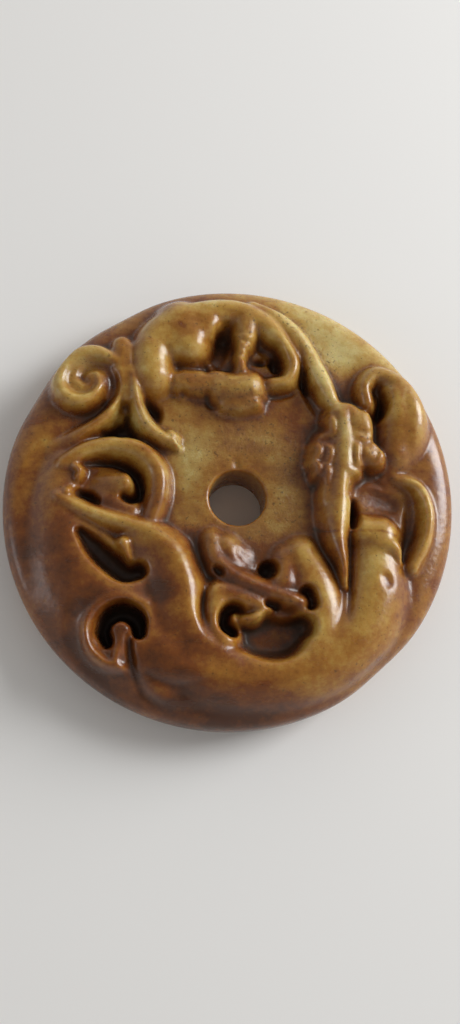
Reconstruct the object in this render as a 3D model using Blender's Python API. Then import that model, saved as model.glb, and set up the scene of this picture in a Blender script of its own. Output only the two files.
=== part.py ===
"""A carved jade bi disc: one solid, lying on its plain back with the carved face up.

The disc is turned first, with its bore, its flat ground and its rounded rim. The face is then
carved in the order a carver would work: broad swells, deep hollows between the figures, the two
coiling hornless dragons with their scrolls, and last the cuts and grooves inside them.
"""

import math

import bmesh
import bpy
import numpy as np

# Sizes of the disc, in metres
DIAMETER = 0.0574
PLATE_THICKNESS = 0.0068
RELIEF_HEIGHT = 0.0034
RIM_HEIGHT = 0.0034
FACE_ROUNDING = 0.0041
FACE_FULLNESS = 2.6
BACK_ROUNDING = 0.0030
BORE_DIAMETER = 0.0071
BORE_ARRIS = 0.0004
BORE_OFFSET = (0.00045, -0.0008)

# The outline isn't a true circle: it is a little longer one way, and worn flat in three places.
# The carving isn't quite in its middle either
OVAL_SHARE = 0.008
OVAL_DIRECTION = math.radians(58)
FLAT_DIRECTIONS = [math.radians(angle) for angle in (122, 154, 310)]
FLAT_DEPTH = 0.00035
FLAT_SPREAD = math.radians(9)
OUTLINE_SHIFT = (-0.00008, -0.00026)

# How finely the blank is turned, and how many triangles the finished solid keeps
SECTORS = 360
RING_STEP = 0.0003
ARC_STEPS = 10
FINISHED_TRIANGLES = 9400

# The carving is drawn in shares of the radius across the face, and of the relief in height
DRAWN_RADIUS = 99
PLAN_UNIT = DIAMETER / 2 / DRAWN_RADIUS
HEIGHT_UNIT = RELIEF_HEIGHT / 100
GUIDE_STEP = 1.5
CARVED_TO = 0.985
FADE_WIDTH = 0.05

JADE_COLOUR = (0.46, 0.25, 0.07, 1.0)
JADE_ROUGHNESS = 0.22


def clear_scene():
    for item in list(bpy.data.objects):
        bpy.data.objects.remove(item)


def ease(share):
    """A share from 0 to 1, eased at both ends."""
    share = np.clip(share, 0, 1)
    return share * share * (3 - 2 * share)


def smooth_through(values, places, wanted):
    """The values, given at rising places, read at the wanted places on a smooth curve through them."""
    slopes = np.gradient(values, places, axis=0)
    before = np.clip(np.searchsorted(places, wanted, side="right") - 1, 0, len(places) - 2)
    gap = places[before + 1] - places[before]
    part = (wanted - places[before]) / gap
    if values.ndim == 2:
        part = part[:, None]
        gap = gap[:, None]
    rise = part * part * (3 - 2 * part)
    leave = part * (1 - part) ** 2 * gap
    arrive = part * part * (part - 1) * gap
    start = (1 - rise) * values[before] + leave * slopes[before]
    return start + rise * values[before + 1] + arrive * slopes[before + 1]


def guide(points):
    """Closely spaced points on a smooth line through a stroke's few points."""
    points = np.array(points, float)
    if len(points) == 1:
        points = np.vstack([points, points + [0, 0.1]])
    places = np.concatenate([[0], np.cumsum(np.hypot(*np.diff(points, axis=0).T))])
    wanted = np.linspace(0, places[-1], 2 + int(places[-1] / GUIDE_STEP))
    return smooth_through(points, places, wanted)


def along(values, shares):
    """A size that changes along a stroke, from the few values given for it."""
    values = np.array(values, float)
    if len(values) == 1:
        return np.full_like(shares, values[0])
    return smooth_through(values, np.linspace(0, 1, len(values)), shares)


def blend_higher(first, second, softness):
    """The higher of two surfaces, with a fillet where they meet."""
    overlap = np.clip(softness - np.abs(first - second), 0, None)
    return np.maximum(first, second) + overlap**2 / (4 * softness)


class Face:
    """The height of the carving over the ground, at points of the face."""

    def __init__(self, plan):
        self.plan = plan
        self.height = np.zeros(len(plan))

    def stroke(self, points, widths, reach):
        """Which points a stroke touches, how far across it they lie, and how far along it."""
        line = guide(points)
        margin = max(widths) * reach
        inside = (self.plan > line.min(axis=0) - margin) & (self.plan < line.max(axis=0) + margin)
        touched = np.flatnonzero(inside.all(axis=1))
        spots = self.plan[touched]
        steps = np.diff(line, axis=0)
        lengths = np.hypot(*steps.T)
        run = np.concatenate([[0], np.cumsum(lengths)])
        nearest = np.full(len(spots), np.inf)
        offset = np.zeros(len(spots))
        share = np.zeros(len(spots))
        for start, step, length, passed in zip(line, steps, lengths, run):
            away = spots - start
            part = np.clip(away @ step / length**2, 0, 1)
            away = away - part[:, None] * step
            distance = np.hypot(*away.T)
            side = np.sign(step[0] * away[:, 1] - step[1] * away[:, 0])
            nearer = distance < nearest
            nearest = np.where(nearer, distance, nearest)
            offset = np.where(nearer, side * distance, offset)
            share = np.where(nearer, (passed + part * length) / run[-1], share)
        return touched, offset / along(widths, share), share

    def band(self, points, widths, heights, lean=0.0, fullness=2.6, softness=5):
        """Raise a rounded band; lean moves its crest to the left of its direction, or right if negative."""
        touched, across, share = self.stroke(points, widths, reach=2)
        across = across - lean
        across = np.abs(across) / np.where(across > 0, 1 - lean, 1 + lean)
        height = along(heights, share)
        surface = height - np.abs(height) * across**fullness
        self.height[touched] = blend_higher(self.height[touched], surface, softness)

    def pit(self, points, widths, depths, brim=0, fullness=3.0, softness=5):
        """Sink a hollow whose wall reaches the brim's height at its given half-width."""
        touched, across, share = self.stroke(points, widths, reach=3)
        depth = along(depths, share)
        surface = (depth + brim) * np.abs(across) ** fullness - depth
        self.height[touched] = -blend_higher(-self.height[touched], -surface, softness)

    def groove(self, points, widths, depths, fullness=1.3):
        """Cut a groove of the given depth into whatever is there."""
        touched, across, share = self.stroke(points, widths, reach=1.1)
        profile = np.clip(1 - np.abs(across) ** fullness, 0, 1)
        self.height[touched] -= along(depths, share) * profile


def carve_swells(face):
    """The broad masses that the figures grow out of, and the ring that closes the lower half."""
    face.band(
        [(-72, 12), (-73, -8), (-66, -28), (-54, -46), (-40, -60), (-26, -72)],
        widths=[8, 12, 19, 24, 24, 18],
        heights=[28, 46, 60, 72, 75, 70],
        fullness=2,
        softness=22,
    )
    face.band(
        [(60, -24), (59, -44), (51, -61), (33, -73), (10, -78), (-10, -76), (-26, -68)],
        widths=[12, 15, 16, 16, 15, 15, 15],
        heights=[66, 78, 81, 82, 81, 78, 74],
        fullness=2.2,
        softness=20,
    )
    face.band(
        [(28, -28), (33, -40), (36, -54), (34, -67)],
        widths=[9, 12, 12, 11],
        heights=[62, 80, 84, 80],
        fullness=2.6,
        softness=14,
    )


def carve_hollows(face):
    """The deep hollows between the figures."""
    face.pit([(-53, 27), (-48, 28.2), (-43, 25.8)], [1.6, 3.2, 1.6], [78], brim=60, fullness=4)
    face.pit([(-47.2, 29), (-46.6, 33)], [2.4, 0.7], [78, 60], brim=60, fullness=4)
    face.pit([(-38.5, 38.5), (-34.6, 35), (-33, 30)], [2.4, 3.4, 2], [60, 50, 10], brim=40, fullness=4)
    face.pit(
        [(0, -62.5), (10, -62), (20, -62), (27.5, -58.5)],
        [4.6, 9.6, 10, 5.6],
        [58],
        brim=72,
        fullness=5,
        softness=8,
    )


def carve_top_dragon(face):
    """The dragon over the bore: an arched back, two haunches, a foreleg, and a head looking right."""
    face.band(
        [
            (-37, 50), (-36, 62), (-28, 74), (-12, 81), (2, 81.5), (13, 76.5), (21.5, 67), (26, 57),
            (23, 50), (16, 48.5),
        ],
        widths=[10, 11.5, 11, 8.5, 8, 7.6, 6.6, 4.8, 4.4, 4],
        heights=[86, 88, 90, 90, 88, 85, 80, 74, 66, 58],
        fullness=2.8,
        softness=10,
    )
    face.band(
        [(8, 86), (20, 79), (28.5, 69.5), (34.5, 58.5), (39.2, 49), (43, 40.5), (45, 37.5)],
        widths=[4, 5, 6, 6, 5.8, 5.4, 4],
        heights=[50, 58, 60, 62, 66, 72, 64],
        fullness=3,
        softness=4,
    )
    face.band([(-26, 68), (-14, 76)], [12, 10], [88, 88], fullness=4, softness=10)
    face.band([(-37, 62), (-35.5, 50.8)], [10.5, 10.8], [92, 94], fullness=2.4, softness=12)
    face.band([(-23, 48.5), (-12, 48), (-2, 46.5)], [6.6, 7, 8], [60, 64, 76], fullness=3.4, softness=8)
    face.band([(-24, 76), (-20.5, 66)], [13.5, 11.2], [90, 98], fullness=2.8, softness=16)
    face.band(
        [(-45.5, 56), (-43.5, 45), (-41.8, 35.5), (-38, 27.5), (-31, 22), (-27, 21)],
        widths=[2, 3, 4, 4.4, 4.2, 3.4],
        heights=[60, 78, 82, 80, 70, 56],
        fullness=2.4,
    )
    face.pit(
        [(-37.6, 38.6), (-34.8, 34.4), (-33.6, 30.4)],
        [1.8, 2.6, 1.4],
        [60, 40, 0],
        brim=50,
        fullness=4,
        softness=3,
    )
    face.pit([(31, 55.5), (31.4, 50), (32.6, 46.4)], [0.9, 2.2, 1.8], [40, 56, 16], brim=40, softness=4)
    face.groove([(32.4, 47), (34.6, 42), (37.6, 36)], [2.4], [16, 12, 4], fullness=2)
    face.band([(-6, 45.6), (0, 45.8), (6, 46.2)], [8, 9.8, 9.6], [78, 87, 91], fullness=2.2, softness=8)
    face.band(
        [(-4, 38.5), (3, 38), (8.6, 39.4)],
        [5, 5.2, 4.8],
        [52, 62, 68],
        fullness=1.8,
        softness=22,
    )
    face.band(
        [(2.4, 54), (2.6, 60), (4.4, 67), (5.4, 77)],
        [3.4, 3.4, 6, 8],
        [76, 74, 78, 84],
        fullness=3,
    )
    face.pit([(-4.8, 70), (-6, 64.5), (-7.6, 59.8)], [4.2, 4.6, 4.8], [58, 40, 24], brim=74, fullness=5)
    face.pit([(12.6, 66.4), (15.6, 64), (18.4, 60)], [3.2, 4.6, 3.4], [10, 20, 56], brim=74, fullness=5)
    face.pit([(18.6, 61), (18.8, 58)], [3, 2.9], [60], brim=72, fullness=4)
    face.pit([(13, 60.6), (9.6, 60.2), (6.8, 60.2)], [2.2, 1.5, 0.9], [40, 34, 0], brim=70, fullness=4)
    face.pit([(-22.6, 42.6)], [1.9], [0], brim=60, fullness=4)


def carve_upper_scrolls(face):
    """The scrolls at the upper left and the upper right."""
    face.band(
        [(-49, 62), (-49.5, 50), (-50.6, 40), (-55.5, 31), (-65, 24), (-76, 17)],
        widths=[3.4, 3, 3.2, 3.8, 4.4, 5],
        heights=[72, 70, 68, 62, 48, 14],
        fullness=2.4,
    )
    face.band([(-68, 48), (-54, 47)], [12, 9], [52, 54], fullness=4)
    face.band([(-49.6, 64), (-50, 50)], [5.5, 5], [68, 68], fullness=4, softness=8)
    face.band(
        [(-47.4, 62), (-47, 50), (-46.6, 39)],
        [4.6, 3.8, 2.6],
        [68, 68, 64],
        fullness=4,
        softness=5,
    )
    face.band(
        [
            (-60.2, 50), (-58.4, 44), (-62, 38.6), (-69, 37.2), (-75, 42), (-75.5, 50), (-70, 57.5),
            (-60, 59.5), (-52, 56),
        ],
        widths=[1.6, 3, 4.4, 5, 5.2, 5.6, 6, 5.4, 4],
        heights=[62, 72, 76, 78, 78, 78, 78, 77, 74],
        fullness=2.8,
    )
    face.pit(
        [
            (-64.6, 46), (-66.8, 48), (-65, 51.6), (-60, 53.2), (-54.6, 50), (-53, 43.5), (-56, 37),
            (-62, 32.4), (-70, 28),
        ],
        widths=[1.5, 2.3, 2.6, 3, 3.6, 3.8, 3.4, 2.8, 2],
        depths=[-36, -32, -36, -40, -32, -24, -20, -10, 0],
        brim=70,
    )
    face.band(
        [(69, 16), (77, 28), (78, 42), (71.5, 51), (62.5, 54), (57.6, 48.5), (58.6, 40)],
        widths=[8, 10, 9.6, 8.2, 6.2, 5.2, 4.6],
        heights=[20, 60, 76, 76, 72, 74, 66],
        fullness=2.4,
        softness=10,
    )
    face.band([(71, 20), (73, 34), (72, 45)], [9, 10, 9], [54, 74, 78], fullness=2.4, softness=10)
    face.pit(
        [(60.6, 46.4), (63.6, 47.2), (65.8, 44), (65.8, 38.5), (63.4, 33.6)],
        widths=[0.8, 1.4, 1.9, 2.3, 1.8],
        depths=[-30, 10, 50, 60, 20],
        brim=64,
        fullness=3.4,
    )


def carve_right_dragon(face):
    """The dragon on the right: its head from above, the forked neck, and the limb under the bore."""
    face.band([(40.5, 21), (36.8, 14), (37, 7)], [8, 7, 5.4], [70, 68, 64], fullness=3, softness=8)
    face.band(
        [(48, 31), (49.5, 22), (48.5, 12)],
        [10.8, 11.4, 9.4],
        [90, 92, 90],
        fullness=4.6,
        softness=8,
    )
    face.band([(54, 30.5), (55, 24.5)], [7.6, 6.6], [90, 91], fullness=4.4, softness=6)
    face.band([(56.6, 17), (59.6, 14.4)], [7.8, 6.6], [90, 87], fullness=4)
    face.band(
        [(46.5, 32), (47, 21), (46.8, 10)],
        [6.5, 6.5, 7],
        [90, 94, 93],
        fullness=2.6,
        softness=12,
    )
    face.band([(42, 19), (40.4, 8), (39.6, -5)], [5, 5.6, 5.4], [76, 74, 74], fullness=2.4, softness=14)
    face.band(
        [(45.6, 11), (44.4, 0), (43, -12), (43, -22), (45, -33), (46, -42)],
        widths=[7, 8, 9.2, 7, 4, 1.4],
        heights=[93, 93, 93, 92, 88, 72],
        lean=0.05,
        fullness=2,
        softness=5,
    )
    face.groove([(35, 4.4), (35.6, 1.4)], [1.8], [16], fullness=2)
    face.pit([(56, -1), (63, -3), (69, -5)], [5, 5.5, 5], [6, 14, 20], brim=10, softness=8)
    face.band([(55.5, -18), (62, -19)], [8.5, 9.5], [76, 80], fullness=2.8, softness=10)
    face.band([(61, -22), (67, -25), (70.4, -31)], [9, 5, 1.5], [80, 80, 60], fullness=2.4, softness=8)
    face.pit(
        [(70.5, -0.5), (75.4, -5), (76.2, -13), (74.6, -22), (71.8, -30)],
        widths=[3, 4.8, 5.2, 3.6, 1.4],
        depths=[-4, 12, 20, 26, 8],
        brim=54,
        fullness=2.8,
    )
    face.pit([(51.6, -3.6), (51.8, -9), (50.6, -15.5)], [1.4, 2.1, 1.2], [40, 75, 50], brim=50)
    face.pit([(29.6, -45), (31, -48.6)], [3.4, 3.2], [74], brim=68, fullness=4)


def carve_outer_curl(face):
    """The hollow curl between the right limb and the rim."""
    face.band(
        [(71, 7), (79, 3.5), (83.4, -7), (82, -20), (75.5, -33)],
        widths=[2.8, 3.8, 3.8, 3.8, 3.6],
        heights=[16, 52, 60, 56, 48],
        fullness=2.2,
        softness=6,
    )
    face.groove([(0.6, 15), (1.4, 11)], [0.8, 2], [3, 18], fullness=2)


def carve_left_dragon(face):
    """The dragon on the left: the scroll with its knobs, the long limb and torso, and the long pit."""
    face.band(
        [(-72, 9.6), (-63, 15.2), (-51, 17.6), (-39.8, 14.6), (-33.4, 6.8), (-32.6, -3), (-35, -13)],
        widths=[5, 5.1, 5.3, 5.9, 6, 6, 5.4],
        heights=[48, 62, 69, 73, 75, 74, 62],
        lean=0.15,
        fullness=2.8,
    )
    face.pit([(-62, 3), (-55, 2), (-48, 2)], [5, 8, 7], [20, 30, 20], brim=50, fullness=5)
    face.band([(-60, -2), (-53, 0), (-46.8, 1.6)], [7, 8.2, 5.6], [4, 32, 60], fullness=2.8, softness=3)
    face.band([(-52, -6), (-44, -11)], [8, 7], [34, 52], fullness=2.4, softness=6)
    face.pit(
        [
            (-64, 10.3), (-56, 11.4), (-49, 10.6), (-43, 6.8), (-40.3, 1), (-40.6, -3.6), (-44, -5.6),
            (-47, -4),
        ],
        widths=[0.8, 1.6, 1.9, 2.2, 2.2, 2.2, 1.9, 1.3],
        depths=[10, 40, 50, 56, 62, 60, 56, 40],
        brim=62,
        fullness=4,
    )
    face.pit(
        [(-56.6, 24.6), (-50, 25.6), (-43.6, 24)],
        [1.2, 2.6, 2],
        [80],
        brim=60,
        fullness=4,
        softness=3,
    )
    face.pit(
        [(-48.8, 25), (-47.6, 29), (-47, 32)],
        [3.6, 2.2, 0.6],
        [80],
        brim=62,
        fullness=4,
        softness=3,
    )
    face.pit([(-65.4, -2.8), (-61.5, -4.4), (-58.4, -6.4)], [2, 3, 1.8], [50, 56, 30], brim=40)
    face.band([(-67.6, 8.2), (-65, 6.4), (-66, 3.2)], [2.2, 2.4, 2.2], [64, 66, 60], fullness=2)
    face.band([(-70, -3)], [2.9], [66], fullness=2)
    face.band(
        [(-40, -22), (-31, -30), (-27, -42), (-25.5, -54), (-19, -66), (-4, -76)],
        widths=[10, 14, 16, 16, 14, 12],
        heights=[76, 85, 88, 86, 82, 74],
        lean=0.4,
        fullness=2,
        softness=16,
    )
    face.band(
        [(-74, -5), (-66, -9.5), (-55, -13.7), (-44, -17), (-34, -21), (-27, -28)],
        widths=[4.5, 5, 5.2, 6, 8, 10],
        heights=[56, 66, 74, 79, 83, 84],
        fullness=2.2,
        softness=10,
    )
    face.pit(
        [(-64, -20), (-58, -26), (-51, -32.4), (-44.6, -36.6), (-40, -36)],
        widths=[2, 4.8, 5.4, 5.2, 3.8],
        depths=[10, 36, 50, 56, 50],
        brim=66,
        fullness=4,
    )
    face.band([(-46, -25), (-43.4, -31.8)], [4.6, 1.3], [76, 54], fullness=2.6, softness=3)
    face.groove(
        [(-57, 33), (-66, 26), (-76, 17), (-84, 8), (-87, -6), (-84, -22)],
        [4, 5, 6, 6, 6, 6],
        [4, 9, 10, 8, 6, 2],
        fullness=2,
    )


def carve_lower_scrolls(face):
    """The limb and the scroll under the bore, and the scroll and tail at the lower left."""
    face.band([(-4, -24.5), (0, -30)], [6.5, 8], [42, 44], fullness=2, softness=14)
    face.band([(-8, -45), (-7, -54), (-5, -64)], [7, 8, 8], [64, 70, 74], fullness=2.8, softness=10)
    face.band([(-5, -44.5), (5, -47), (13, -50)], [7, 6.4, 4], [64, 62, 54], fullness=2.4, softness=10)
    face.band([(22, -30), (21, -40)], [8, 9], [50, 66], fullness=2, softness=16)
    face.band(
        [(-9.5, -22), (-8.5, -29), (-2, -36.4), (8, -41.4), (18, -45.2), (27, -48.4)],
        widths=[6, 6.4, 6, 5.8, 5.8, 5],
        heights=[44, 58, 67, 68, 67, 64],
        fullness=2,
        softness=12,
    )
    face.pit([(6, -27), (9.5, -31)], [5, 5.6], [-16, -4], brim=30, softness=14)
    face.pit([(13.8, -34.2)], [4.2], [56], brim=44, fullness=4, softness=4)
    face.pit(
        [(2.6, -51.4), (0, -50.6), (-3.6, -53), (-3.8, -57.6), (-0.5, -60.6)],
        [1.4, 2.2, 2.7, 2.9, 2.6],
        [24, 44, 62, 70, 66],
        brim=60,
        fullness=4,
    )
    face.band(
        [(3.4, -55.4), (7, -55.2), (11.5, -52)],
        [2.2, 3, 2.6],
        [48, 60, 54],
        fullness=2.2,
        softness=3,
    )
    face.groove(
        [(-9.4, -38.6), (-12, -44), (-13.6, -52), (-12, -61)],
        [1.5, 1.8, 2, 1.6],
        [16, 26, 30, 8],
        fullness=1.6,
    )
    face.band(
        [(-45.5, -75.6), (-52, -73.4), (-58, -68), (-60, -60), (-57, -51.6), (-48, -47), (-36, -50)],
        widths=[2.4, 3.6, 3.6, 3.8, 4.2, 4.2, 4],
        heights=[66, 73, 79, 78, 75, 73, 70],
        fullness=2.2,
        softness=4,
    )
    face.pit(
        [(-51.4, -65.4), (-53.4, -60), (-51, -55), (-45, -53), (-39.8, -56.4), (-38.8, -61.4)],
        widths=[2.2, 3, 3.6, 3.9, 3.8, 2.6],
        depths=[84],
        brim=64,
        fullness=5,
    )
    face.band(
        [(-48, -59.4), (-46.6, -64), (-47.4, -70), (-48, -74)],
        [1.3, 2.4, 3.6, 4],
        [50, 64, 68, 68],
        fullness=2.4,
        softness=3,
    )
    face.groove(
        [(-42.6, -63.6), (-42.2, -70), (-40, -78), (-36, -85), (-30, -90)],
        [1.9, 2.1, 2.3, 2.5, 2.5],
        [34, 28, 20, 14, 4],
        fullness=1.7,
    )
    face.groove(
        [(-65, -50), (-66, -61), (-62.4, -72), (-53, -79)],
        [3.6, 4, 4, 3.2],
        [3, 9, 11, 6],
        fullness=2,
    )
    face.groove([(-28, -83.4), (-21, -84.6), (-14, -84.4)], [2.2, 3.2, 2.4], [3, 10, 4], fullness=2)


def carve_face(plan):
    """The height of the whole carving over the ground, in metres, at plan points in metres."""
    face = Face(plan / PLAN_UNIT)
    carve_swells(face)
    carve_hollows(face)
    carve_top_dragon(face)
    carve_upper_scrolls(face)
    carve_right_dragon(face)
    carve_outer_curl(face)
    carve_left_dragon(face)
    carve_lower_scrolls(face)
    return face.height * HEIGHT_UNIT


def full_round(count):
    """Evenly spaced points on a quarter of a squarish curve, from its flat start to its upright end."""
    turn = np.linspace(0, math.pi / 2, 2000)
    out = np.sin(turn) ** (2 / FACE_FULLNESS)
    up = np.cos(turn) ** (2 / FACE_FULLNESS)
    run = np.concatenate([[0], np.cumsum(np.hypot(np.diff(out), np.diff(up)))])
    wanted = np.linspace(0, run[-1], count)
    return list(zip(np.interp(wanted, run, out), np.interp(wanted, run, up)))


def half_section():
    """The turned disc's half section, as radius and height, from the back of the bore round to it again."""
    bore = BORE_DIAMETER / 2
    radius = DIAMETER / 2
    quarter = np.linspace(0, math.pi / 2, ARC_STEPS)
    ground = np.arange(bore + BORE_ARRIS, radius - FACE_ROUNDING, RING_STEP)[1:]
    points = [(bore + BORE_ARRIS * (1 - math.sin(a)), BORE_ARRIS * (1 - math.cos(a))) for a in quarter]
    points += [
        (bore + BORE_ARRIS * (1 - math.cos(a)), PLATE_THICKNESS - BORE_ARRIS * (1 - math.sin(a)))
        for a in quarter
    ]
    points += [(r, PLATE_THICKNESS) for r in ground]
    points += [
        (radius - FACE_ROUNDING * (1 - out), RIM_HEIGHT + (PLATE_THICKNESS - RIM_HEIGHT) * up)
        for out, up in full_round(3 * ARC_STEPS)
    ]
    points += [
        (radius - BACK_ROUNDING * (1 - math.cos(a)), RIM_HEIGHT * (1 - math.sin(a)))
        for a in quarter[1:]
    ]
    return points


def turned_blank():
    """The half section spun into a plain disc."""
    shape = bmesh.new()
    corners = [shape.verts.new((radius, 0, height)) for radius, height in half_section()]
    sides = [shape.edges.new(pair) for pair in zip(corners, corners[1:] + corners[:1])]
    bmesh.ops.spin(
        shape,
        geom=corners + sides,
        cent=(0, 0, 0),
        axis=(0, 0, 1),
        angle=math.tau,
        steps=SECTORS,
        use_merge=True,
    )
    bmesh.ops.recalc_face_normals(shape, faces=shape.faces)
    mesh = bpy.data.meshes.new("jade_bi_disc")
    shape.to_mesh(mesh)
    shape.free()
    return mesh


def outline_share(angle):
    """How far the outline stands out from a true circle in each direction, as a share of the radius."""
    share = OVAL_SHARE * np.cos(2 * (angle - OVAL_DIRECTION))
    share += (OUTLINE_SHIFT[0] * np.cos(angle) + OUTLINE_SHIFT[1] * np.sin(angle)) / (DIAMETER / 2)
    for direction in FLAT_DIRECTIONS:
        turn = (angle - direction + math.pi) % math.tau - math.pi
        share -= FLAT_DEPTH / (DIAMETER / 2) * np.exp(-((turn / FLAT_SPREAD) ** 2))
    return share


def carve(mesh):
    """Move the blank's bore and outline to their places and carve its face."""
    spots = np.empty(len(mesh.vertices) * 3)
    mesh.vertices.foreach_get("co", spots)
    spots = spots.reshape(-1, 3)
    radius = np.hypot(spots[:, 0], spots[:, 1])
    angle = np.arctan2(spots[:, 1], spots[:, 0])
    outward = radius / (DIAMETER / 2)
    spots[:, :2] *= (1 + outline_share(angle) * ease(outward * 2 - 1))[:, None]
    near_bore = 1 - ease((radius - BORE_DIAMETER / 2) / (DIAMETER / 4))
    spots[:, :2] += near_bore[:, None] * BORE_OFFSET
    top = (spots[:, 2] > RIM_HEIGHT) & (radius > BORE_DIAMETER / 2 + BORE_ARRIS)
    fade = ease((CARVED_TO - outward[top]) / FADE_WIDTH)
    spots[top, 2] += carve_face(spots[top, :2]) * fade
    mesh.vertices.foreach_set("co", spots.ravel())
    mesh.update()


def simplify(item):
    """Keep the triangles where the carving needs them, and leave the back dead flat."""
    item.data.calc_loop_triangles()
    decimate = item.modifiers.new("Fewer triangles", "DECIMATE")
    decimate.ratio = FINISHED_TRIANGLES / len(item.data.loop_triangles)
    graph = bpy.context.evaluated_depsgraph_get()
    simple = bpy.data.meshes.new_from_object(item.evaluated_get(graph))
    item.modifiers.clear()
    item.data = simple
    for vertex in simple.vertices:
        if vertex.co.z < BORE_ARRIS / 10:
            vertex.co.z = 0


def centre(mesh):
    """Put the middle of the underside at the origin."""
    spots = np.array([vertex.co for vertex in mesh.vertices])
    middle = (spots.max(axis=0) + spots.min(axis=0)) / 2
    for vertex in mesh.vertices:
        vertex.co.x -= middle[0]
        vertex.co.y -= middle[1]


def jade():
    material = bpy.data.materials.new("Honey jade")
    material.use_nodes = True
    surface = material.node_tree.nodes["Principled BSDF"]
    surface.inputs["Base Color"].default_value = JADE_COLOUR
    surface.inputs["Roughness"].default_value = JADE_ROUGHNESS
    surface.inputs["Metallic"].default_value = 0.0
    return material


def make_disc():
    mesh = turned_blank()
    carve(mesh)
    disc = bpy.data.objects.new("jade_bi_disc", mesh)
    bpy.context.scene.collection.objects.link(disc)
    simplify(disc)
    centre(disc.data)
    disc.data.materials.append(jade())
    disc.data.shade_smooth()
    disc.data.set_sharp_from_angle(angle=math.radians(40))
    return disc


clear_scene()
make_disc()
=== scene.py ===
# %% [markdown]
# # A carved jade bi disc
#
# A bi is a flat disc of jade with a hole in its middle. This one is a pendant about as wide as a
# watch: its back is plain, and two coiling hornless dragons with scrolls stand out of its face.
# The CAD part already holds the disc and the carving that shows from a step away. This script
# carves the same disc again, finely enough for a close look, and gives it the stone's honey
# colours, its polish and the old dirt in its hollows. Painted shade goes into the hollows with
# that dirt, and some painted light and shade into the colours.

import math

import bmesh
import bpy
import numpy as np
from mathutils import Matrix, Vector


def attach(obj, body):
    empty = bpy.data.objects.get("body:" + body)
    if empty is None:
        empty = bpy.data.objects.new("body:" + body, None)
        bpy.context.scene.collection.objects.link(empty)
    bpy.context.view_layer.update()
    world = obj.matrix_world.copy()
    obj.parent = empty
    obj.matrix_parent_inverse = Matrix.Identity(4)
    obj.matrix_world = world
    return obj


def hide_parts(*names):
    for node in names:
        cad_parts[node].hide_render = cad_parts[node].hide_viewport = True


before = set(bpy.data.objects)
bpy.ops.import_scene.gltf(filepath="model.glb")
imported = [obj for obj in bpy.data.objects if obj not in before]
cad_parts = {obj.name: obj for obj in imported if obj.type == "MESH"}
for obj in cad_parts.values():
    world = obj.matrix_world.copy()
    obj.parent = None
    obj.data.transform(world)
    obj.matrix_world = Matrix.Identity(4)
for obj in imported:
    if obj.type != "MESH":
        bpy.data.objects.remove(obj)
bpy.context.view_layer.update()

# %% [markdown]
# ## The camera
#
# The photograph looks down on the disc from a hand's breadth away, a little from its lower edge
# and from the left. A camera this close gives strong perspective: the rim near the lens looks
# larger, and the wall of the bore shows on one side only. So the camera is placed by the point
# that it looks at, its distance and its two tilts, and its lens comes from a focal length
# counted in pixels of the photograph.

# %% Camera
IMAGE_HEIGHT = 1024
FOCAL_LENGTH_PIXELS = 860.0
SENSOR_HEIGHT = 36.0
LOOKED_AT = Vector((-0.00042, -0.00244, 0.0068))
CAMERA_DISTANCE = 0.1063
TILT_FROM_LEFT = math.radians(4.5)
TILT_FROM_BELOW = math.radians(15.0)

looking = Vector((math.sin(TILT_FROM_LEFT), math.sin(TILT_FROM_BELOW), 0.0))
looking.z = -math.sqrt(1 - looking.length_squared)
rightward = looking.cross(Vector((0, 1, 0))).normalized()
upward = rightward.cross(looking)
lens = bpy.data.cameras.new("Camera")
lens.sensor_fit = "VERTICAL"
lens.sensor_height = SENSOR_HEIGHT
lens.lens = FOCAL_LENGTH_PIXELS / IMAGE_HEIGHT * SENSOR_HEIGHT
lens.clip_start = 0.005
camera = bpy.data.objects.new("Camera", lens)
turned = Matrix((rightward, upward, -looking)).transposed().to_4x4()
camera.matrix_world = Matrix.Translation(LOOKED_AT - CAMERA_DISTANCE * looking) @ turned
bpy.context.scene.collection.objects.link(camera)
bpy.context.scene.camera = camera
print("the camera stands", round(1000 * camera.matrix_world.translation.z), "mm above the table")

# %% [markdown]
# ## The sizes of the disc
#
# These are the sizes of the CAD part, in metres, because the fine disc has to fill the same
# space. The carving is drawn in shares: 99 units reach from the middle to the rim, and 100 units
# of height are the highest relief above the flat ground between the figures. A carver's eye works
# in such shares, and the drawing stays right if the disc is made larger.

# %% Sizes
RADIUS = 0.0287
GROUND_HEIGHT = 0.0068
RELIEF_HEIGHT = 0.0034
RIM_HEIGHT = 0.0034
FACE_ROUNDING = 0.0041
FACE_FULLNESS = 2.6
BACK_ROUNDING = 0.0030
BORE_RADIUS = 0.00355
BORE_ARRIS = 0.0004
BORE_OFFSET = (0.00045, -0.0008)
OVAL_SHARE = 0.008
OVAL_DIRECTION = math.radians(58)
FLAT_DIRECTIONS = [math.radians(angle) for angle in (122, 154, 310)]
FLAT_DEPTH = 0.00035
FLAT_SPREAD = math.radians(9)
OUTLINE_SHIFT = (-0.00008, -0.00026)
CARVED_TO = 0.985
FADE_WIDTH = 0.05
DRAWN_RADIUS = 99
PLAN_UNIT = RADIUS / DRAWN_RADIUS
HEIGHT_UNIT = RELIEF_HEIGHT / 100
print("one plan unit is", round(1000 * PLAN_UNIT, 2), "mm and one height unit", 1000 * HEIGHT_UNIT, "mm")

# %% [markdown]
# ## A carving board
#
# A relief has one height over each point of its ground, so it can be worked out as a height map:
# a board of closely spaced heights, on which each cut or swelling is a stroke along a smooth
# line. Sculpting by hand would give the same forms, but nobody could repeat it, and a chain of
# Booleans would leave hard seams where the real dragons flow into each other. With strokes, every
# limb keeps its few guiding points, widths and heights, and can be moved or fattened later.

# %% Smooth lines through a few points
GUIDE_STEP = 2.0


def ease(share):
    """A share from 0 to 1, eased at both ends."""
    share = np.clip(share, 0, 1)
    return share * share * (3 - 2 * share)


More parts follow.
